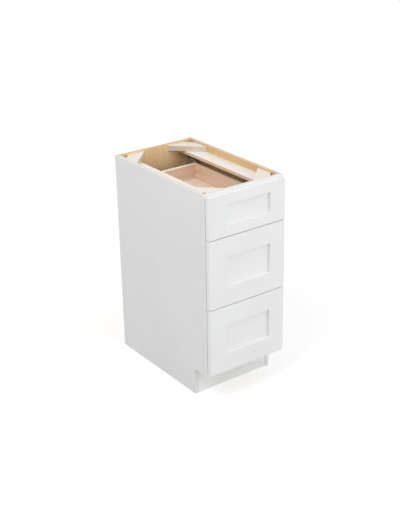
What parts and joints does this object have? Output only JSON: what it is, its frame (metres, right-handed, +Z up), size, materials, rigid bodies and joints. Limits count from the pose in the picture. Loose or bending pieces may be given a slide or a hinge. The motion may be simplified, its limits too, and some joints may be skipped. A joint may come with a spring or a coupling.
{
  "type": "base cabinet with drawers",
  "caption": "Narrow kitchen base cabinet, open on top for a worktop, with a face frame, recessed toe kick and a shallow drawer over two deep ones behind frame-and-panel fronts.",
  "frame": {"origin": "on the floor, in the middle of the cabinet's width and of its depth with the drawer fronts", "axes": "+Z up, +Y to the wall, +X to the right of someone facing the drawers; the drawers open towards -Y"},
  "size_m": [0.381, 0.6302, 0.8763],
  "materials": {
    "white_paint": "white satin paint",
    "birch_ply": "clear-coated birch plywood, golden tan",
    "bare_poplar": "bare planed pale wood",
    "drawer_birch": "clear-coated pinkish birch",
    "zinc_steel": "zinc-plated rolled steel"
  },
  "bodies": {
    "root": {"side_panel_left": "white_paint", "side_panel_right": "white_paint", "back_panel": "birch_ply", "bottom_panel": "birch_ply", "toe_kick_board": "white_paint", "corner_brace_front_left": "bare_poplar", "corner_brace_back_left": "bare_poplar", "kicker_rail_left": "bare_poplar", "corner_brace_front_right": "bare_poplar", "corner_brace_back_right": "bare_poplar", "kicker_rail_right": "bare_poplar", "frame_stile_left": "white_paint", "frame_stile_right": "white_paint", "frame_rail_top": "white_paint", "frame_rail_upper": "white_paint", "frame_rail_lower": "white_paint", "frame_rail_bottom": "white_paint", "top_slide_cabinet_member_left": "zinc_steel", "top_slide_cabinet_member_right": "zinc_steel", "middle_slide_cabinet_member_left": "zinc_steel", "middle_slide_cabinet_member_right": "zinc_steel", "bottom_slide_cabinet_member_left": "zinc_steel", "bottom_slide_cabinet_member_right": "zinc_steel"},
    "top_drawer": {"top_drawer_front_frame": "white_paint", "top_drawer_front_panel": "white_paint", "top_drawer_box_front": "drawer_birch", "top_drawer_box_back": "drawer_birch", "top_drawer_bottom": "drawer_birch", "top_drawer_side_left": "drawer_birch", "top_slide_drawer_member_left": "zinc_steel", "top_drawer_side_right": "drawer_birch", "top_slide_drawer_member_right": "zinc_steel"},
    "top_slide_middle": {"top_slide_middle_member_left": "zinc_steel", "top_slide_middle_member_right": "zinc_steel"},
    "middle_drawer": {"middle_drawer_front_frame": "white_paint", "middle_drawer_front_panel": "white_paint", "middle_drawer_box_front": "drawer_birch", "middle_drawer_box_back": "drawer_birch", "middle_drawer_bottom": "drawer_birch", "middle_drawer_side_left": "drawer_birch", "middle_slide_drawer_member_left": "zinc_steel", "middle_drawer_side_right": "drawer_birch", "middle_slide_drawer_member_right": "zinc_steel"},
    "middle_slide_middle": {"middle_slide_middle_member_left": "zinc_steel", "middle_slide_middle_member_right": "zinc_steel"},
    "bottom_drawer": {"bottom_drawer_front_frame": "white_paint", "bottom_drawer_front_panel": "white_paint", "bottom_drawer_box_front": "drawer_birch", "bottom_drawer_box_back": "drawer_birch", "bottom_drawer_bottom": "drawer_birch", "bottom_drawer_side_left": "drawer_birch", "bottom_slide_drawer_member_left": "zinc_steel", "bottom_drawer_side_right": "drawer_birch", "bottom_slide_drawer_member_right": "zinc_steel"},
    "bottom_slide_middle": {"bottom_slide_middle_member_left": "zinc_steel", "bottom_slide_middle_member_right": "zinc_steel"}
  },
  "joints": [
    {"name": "top_drawer_slide", "type": "slide", "parent": "root", "child": "top_drawer", "axis": [0, -1, 0], "range_m": [0, 0.508]},
    {"name": "top_middle_member_slide", "type": "slide", "parent": "root", "child": "top_slide_middle", "axis": [0, -1, 0], "range_m": [0, 0.254]},
    {"name": "middle_drawer_slide", "type": "slide", "parent": "root", "child": "middle_drawer", "axis": [0, -1, 0], "range_m": [0, 0.508]},
    {"name": "middle_middle_member_slide", "type": "slide", "parent": "root", "child": "middle_slide_middle", "axis": [0, -1, 0], "range_m": [0, 0.254]},
    {"name": "bottom_drawer_slide", "type": "slide", "parent": "root", "child": "bottom_drawer", "axis": [0, -1, 0], "range_m": [0, 0.508]},
    {"name": "bottom_middle_member_slide", "type": "slide", "parent": "root", "child": "bottom_slide_middle", "axis": [0, -1, 0], "range_m": [0, 0.254]}
  ],
  "couplings": [
    {"joint": "top_middle_member_slide", "follows": "top_drawer_slide", "ratio": 0.5},
    {"joint": "middle_middle_member_slide", "follows": "middle_drawer_slide", "ratio": 0.5},
    {"joint": "bottom_middle_member_slide", "follows": "bottom_drawer_slide", "ratio": 0.5}
  ]
}
